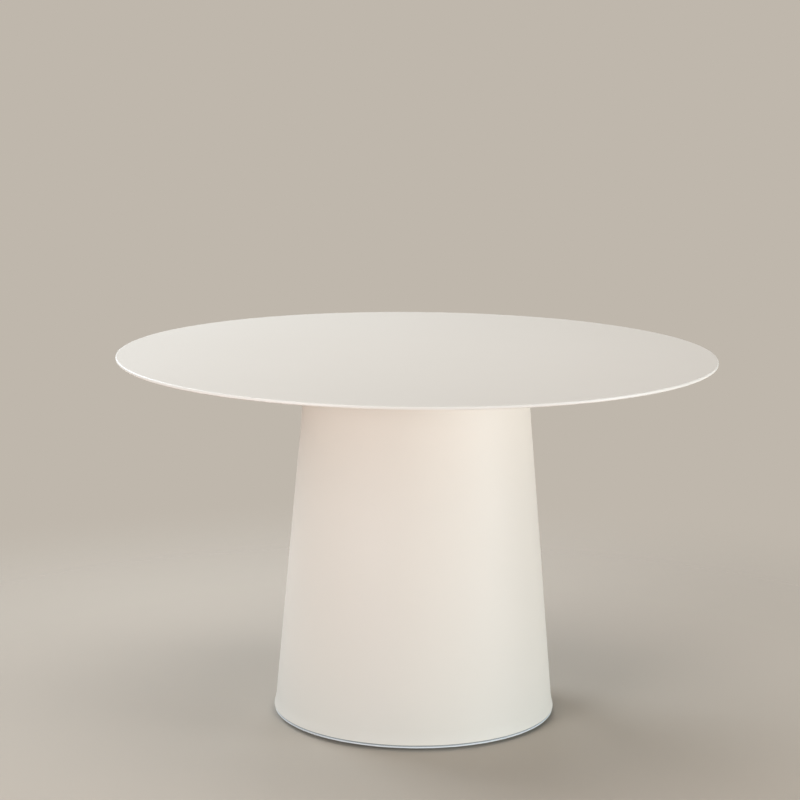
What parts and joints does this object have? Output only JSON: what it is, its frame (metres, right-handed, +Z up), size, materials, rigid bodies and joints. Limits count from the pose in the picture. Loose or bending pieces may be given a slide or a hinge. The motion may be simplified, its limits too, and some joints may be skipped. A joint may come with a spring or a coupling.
{
  "type": "round pedestal table",
  "caption": "Round dining-height table: thin bevelled white top on a seamless conical steel pedestal with a slightly flared foot, a ballasted base plate and levelling glides.",
  "frame": {"origin": "on the floor, straight below the centre of the round top", "axes": "+Z up through the top, +X to the right and -Y towards the picture's camera"},
  "size_m": [1.2, 1.2, 0.737],
  "materials": {
    "white_lacquer": "matt lacquer on board",
    "white_powder_coat": "fine satin powder coat",
    "cool_white_coat": "smooth cool white coat",
    "zinc_plate": "bright zinc plating",
    "dark_paint": "matt dark paint",
    "cast_iron": "as cast, dull",
    "insert_brass": "machined",
    "seal_rubber": "matt",
    "dark_nylon": "moulded"
  },
  "bodies": {
    "table": {"tabletop": "white_lacquer", "top_insert_1": "insert_brass", "top_insert_2": "insert_brass", "top_insert_3": "insert_brass", "top_insert_4": "insert_brass", "top_insert_5": "insert_brass", "top_insert_6": "insert_brass", "top_screw_1": "zinc_plate", "top_screw_2": "zinc_plate", "top_screw_3": "zinc_plate", "top_screw_4": "zinc_plate", "top_screw_5": "zinc_plate", "top_screw_6": "zinc_plate", "mounting_plate": "dark_paint", "top_seal": "seal_rubber", "cone_shell": "white_powder_coat", "foot_seal": "seal_rubber", "base_plate": "cool_white_coat", "ballast_disc": "cast_iron", "ballast_screw_1": "zinc_plate", "ballast_screw_2": "zinc_plate", "ballast_screw_3": "zinc_plate", "ballast_screw_4": "zinc_plate", "ballast_screw_5": "zinc_plate", "ballast_screw_6": "zinc_plate", "hub_nut": "zinc_plate", "tie_rod": "zinc_plate", "tie_washer": "zinc_plate", "tie_nut": "zinc_plate", "nut_cap": "dark_nylon", "glide_bush_front_left": "zinc_plate", "glide_bush_front_right": "zinc_plate", "glide_bush_back_left": "zinc_plate", "glide_bush_back_right": "zinc_plate"},
    "pad_front_left": {"glide_pad_front_left": "dark_nylon"},
    "pad_front_right": {"glide_pad_front_right": "dark_nylon"},
    "pad_back_left": {"glide_pad_back_left": "dark_nylon"},
    "pad_back_right": {"glide_pad_back_right": "dark_nylon"},
    "stud_front_left": {"glide_stud_front_left": "zinc_plate"},
    "stud_front_right": {"glide_stud_front_right": "zinc_plate"},
    "stud_back_left": {"glide_stud_back_left": "zinc_plate"},
    "stud_back_right": {"glide_stud_back_right": "zinc_plate"}
  },
  "joints": [
    {"name": "glide_travel_front_left", "type": "slide", "parent": "table", "child": "pad_front_left", "axis": [0, 0, -1], "range_m": [0, 0.01]},
    {"name": "stud_turn_front_left", "type": "hinge", "parent": "pad_front_left", "child": "stud_front_left", "pos_m": [-0.17364, -0.17364, 0.004], "axis": [0, 0, -1], "range_deg": [0, 2880]},
    {"name": "glide_travel_front_right", "type": "slide", "parent": "table", "child": "pad_front_right", "axis": [0, 0, -1], "range_m": [0, 0.01]},
    {"name": "stud_turn_front_right", "type": "hinge", "parent": "pad_front_right", "child": "stud_front_right", "pos_m": [0.17364, -0.17364, 0.004], "axis": [0, 0, -1], "range_deg": [0, 2880]},
    {"name": "glide_travel_back_left", "type": "slide", "parent": "table", "child": "pad_back_left", "axis": [0, 0, -1], "range_m": [0, 0.01]},
    {"name": "stud_turn_back_left", "type": "hinge", "parent": "pad_back_left", "child": "stud_back_left", "pos_m": [-0.17364, 0.17364, 0.004], "axis": [0, 0, -1], "range_deg": [0, 2880]},
    {"name": "glide_travel_back_right", "type": "slide", "parent": "table", "child": "pad_back_right", "axis": [0, 0, -1], "range_m": [0, 0.01]},
    {"name": "stud_turn_back_right", "type": "hinge", "parent": "pad_back_right", "child": "stud_back_right", "pos_m": [0.17364, 0.17364, 0.004], "axis": [0, 0, -1], "range_deg": [0, 2880]}
  ],
  "couplings": [
    {"joint": "stud_turn_front_left", "follows": "glide_travel_front_left", "rad_per_m": 5026.5},
    {"joint": "stud_turn_front_right", "follows": "glide_travel_front_right", "rad_per_m": 5026.5},
    {"joint": "stud_turn_back_left", "follows": "glide_travel_back_left", "rad_per_m": 5026.5},
    {"joint": "stud_turn_back_right", "follows": "glide_travel_back_right", "rad_per_m": 5026.5}
  ]
}
